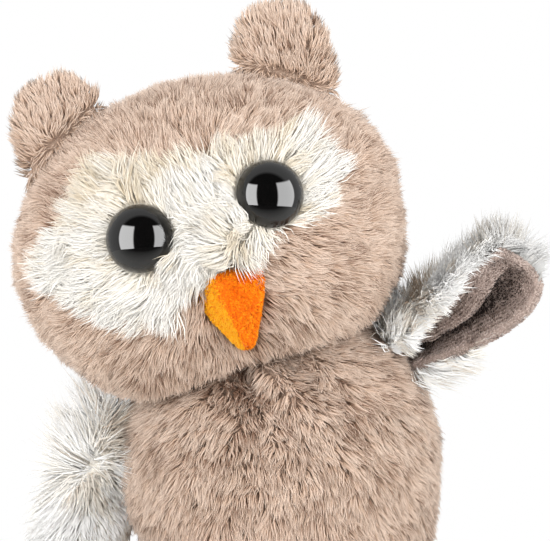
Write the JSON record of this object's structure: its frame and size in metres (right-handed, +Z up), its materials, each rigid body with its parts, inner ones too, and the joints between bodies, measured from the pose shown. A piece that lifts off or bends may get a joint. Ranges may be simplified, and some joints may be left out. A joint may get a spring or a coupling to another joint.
{
  "type": "plush owl",
  "caption": "Seated stuffed owl toy with a tilting head, shaggy white mask, domed eyes, tab ears, cupped wings and a weighted flat base.",
  "frame": {"origin": "middle of the flat base panel's underside, on the surface that the toy sits on", "axes": "+Z up, -Y the way the body faces, +X the toy's own left"},
  "size_m": [0.1421, 0.1022, 0.1739],
  "materials": {
    "taupe_plush": "long soft pile, brushed",
    "white_plush": "shaggy long pile",
    "grey_velour": "short ribbed pile",
    "orange_velour": "short dense pile",
    "fibre_filling": "loose fibre",
    "cotton_cloth": "plain weave",
    "black_eye_plastic": "polished",
    "washer_plastic": "moulded"
  },
  "bodies": {
    "torso": {"body_front_panel": "taupe_plush", "body_back_panel_left": "taupe_plush", "body_back_panel_right": "taupe_plush", "base_panel": "taupe_plush", "body_stuffing": "fibre_filling", "pellet_pouch": "cotton_cloth"},
    "neck_lower": {"neck_core": "fibre_filling"},
    "neck_upper": {"neck_seam_band": "taupe_plush"},
    "head": {"head_crown_panel": "taupe_plush", "head_back_panel": "taupe_plush", "cheek_panel_left": "taupe_plush", "cheek_panel_right": "taupe_plush", "face_mask_left": "white_plush", "face_mask_right": "white_plush", "head_stuffing": "fibre_filling", "left_eye": "black_eye_plastic", "right_eye": "black_eye_plastic", "left_eye_washer": "washer_plastic", "right_eye_washer": "washer_plastic", "beak_skin": "orange_velour", "beak_stuffing": "fibre_filling"},
    "left_ear": {"left_ear_skin": "taupe_plush", "left_ear_stuffing": "fibre_filling"},
    "right_ear": {"right_ear_skin": "taupe_plush", "right_ear_stuffing": "fibre_filling"},
    "left_wing": {"left_wing_cover": "white_plush", "left_wing_lining": "grey_velour"},
    "right_wing": {"right_wing_cover": "white_plush", "right_wing_lining": "grey_velour"},
    "left_foot": {"left_foot_skin": "orange_velour", "left_foot_stuffing": "fibre_filling"},
    "right_foot": {"right_foot_skin": "orange_velour", "right_foot_stuffing": "fibre_filling"}
  },
  "joints": [
    {"name": "neck_tilt", "type": "hinge", "parent": "torso", "child": "neck_lower", "pos_m": [0, 0, 0.049], "axis": [0, 1, 0], "range_deg": [0, 6], "stiffness_Nm_per_rad": 0.8},
    {"name": "neck_nod", "type": "hinge", "parent": "neck_lower", "child": "neck_upper", "pos_m": [0, 0, 0.049], "axis": [1, 0, 0], "range_deg": [-8, 6], "stiffness_Nm_per_rad": 0.8},
    {"name": "neck_turn", "type": "hinge", "parent": "neck_upper", "child": "head", "pos_m": [0, 0, 0.049], "axis": [-0.3256, 0, 0.9455], "range_deg": [-12, 9], "stiffness_Nm_per_rad": 0.4},
    {"name": "left_ear_fold", "type": "hinge", "parent": "head", "child": "left_ear", "pos_m": [0.00172, -0.00619, 0.15065], "axis": [0.9442, 0.0523, 0.3251], "range_deg": [-12, 12], "stiffness_Nm_per_rad": 0.03},
    {"name": "right_ear_fold", "type": "hinge", "parent": "head", "child": "right_ear", "pos_m": [-0.05774, -0.00941, 0.13471], "axis": [0.9442, 0.0523, 0.3251], "range_deg": [-12, 12], "stiffness_Nm_per_rad": 0.03},
    {"name": "left_wing_lift", "type": "hinge", "parent": "torso", "child": "left_wing", "pos_m": [0.03357, 0.00117, 0.07719], "axis": [0, -1, 0], "range_deg": [-50, 4], "stiffness_Nm_per_rad": 0.08},
    {"name": "right_wing_lift", "type": "hinge", "parent": "torso", "child": "right_wing", "pos_m": [-0.04215, 0, 0.06109], "axis": [0, 1, 0], "range_deg": [-5, 55], "stiffness_Nm_per_rad": 0.08},
    {"name": "left_foot_flap", "type": "hinge", "parent": "torso", "child": "left_foot", "pos_m": [0.0165, -0.022, 0.003], "axis": [-1, 0, 0], "range_deg": [0, 20], "stiffness_Nm_per_rad": 0.03},
    {"name": "right_foot_flap", "type": "hinge", "parent": "torso", "child": "right_foot", "pos_m": [-0.0165, -0.022, 0.003], "axis": [-1, 0, 0], "range_deg": [0, 20], "stiffness_Nm_per_rad": 0.03}
  ]
}
